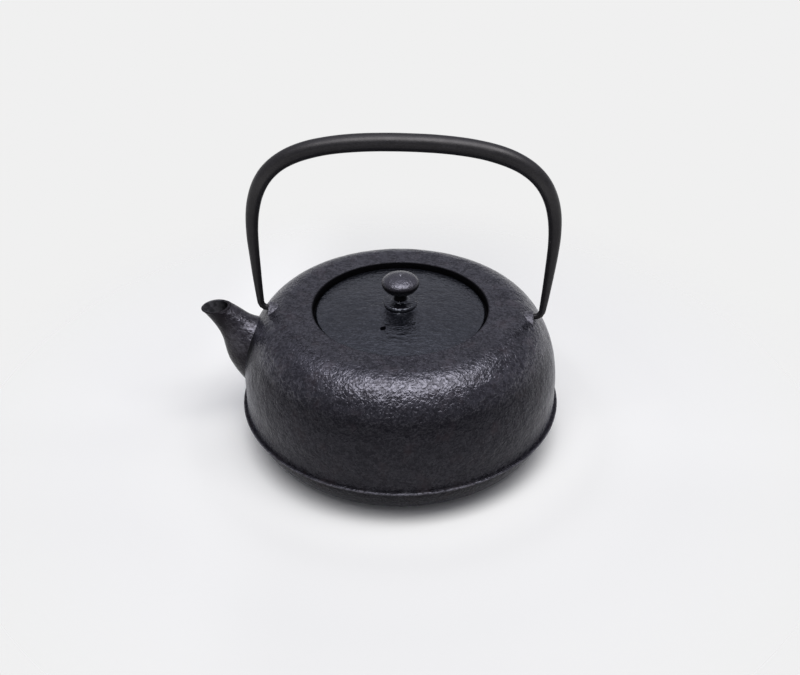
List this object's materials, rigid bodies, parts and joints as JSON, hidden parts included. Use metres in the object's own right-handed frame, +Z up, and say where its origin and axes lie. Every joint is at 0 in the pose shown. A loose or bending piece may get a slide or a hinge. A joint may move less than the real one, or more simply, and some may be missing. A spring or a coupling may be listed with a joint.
{
  "type": "cast iron kettle",
  "caption": "Low round cast iron kettle with a flanged body, an upturned spout, a swinging bail handle and a domed lid with a riveted knob.",
  "frame": {"origin": "middle of the flat base, on the surface the kettle stands on", "axes": "+Z up; -X towards the spout; the handle stands in the XZ plane and swings about the X direction"},
  "size_m": [0.2015, 0.18, 0.1808],
  "materials": {
    "body_iron": "satin black, lacquered, with fine cast wrinkles",
    "spout_iron": "satin black, smoother, with faint wrinkles and pits",
    "ear_iron": "rough, worn grey black",
    "handle_iron": "smooth satin black",
    "lid_iron": "semi-gloss black with broad ripples",
    "knob_iron": "semi-gloss black, smooth",
    "inside_iron": "dull grey black"
  },
  "bodies": {
    "kettle": {"kettle_body": "body_iron", "spout": "spout_iron", "ear_spout_side": "ear_iron", "ear_far_side": "ear_iron"},
    "handle": {"bail_handle": "handle_iron"},
    "lid": {"lid_plate": "lid_iron", "knob_collar": "lid_iron", "lid_knob": "knob_iron", "knob_washer": "inside_iron"}
  },
  "joints": [
    {"name": "handle_swing", "type": "hinge", "parent": "kettle", "child": "handle", "pos_m": [0, 0, 0.0755], "axis": [1, 0, 0], "range_deg": [-105, 105]},
    {"name": "lid_lift", "type": "slide", "parent": "kettle", "child": "lid", "axis": [0, 0, 1], "range_m": [0, 0.06]}
  ]
}
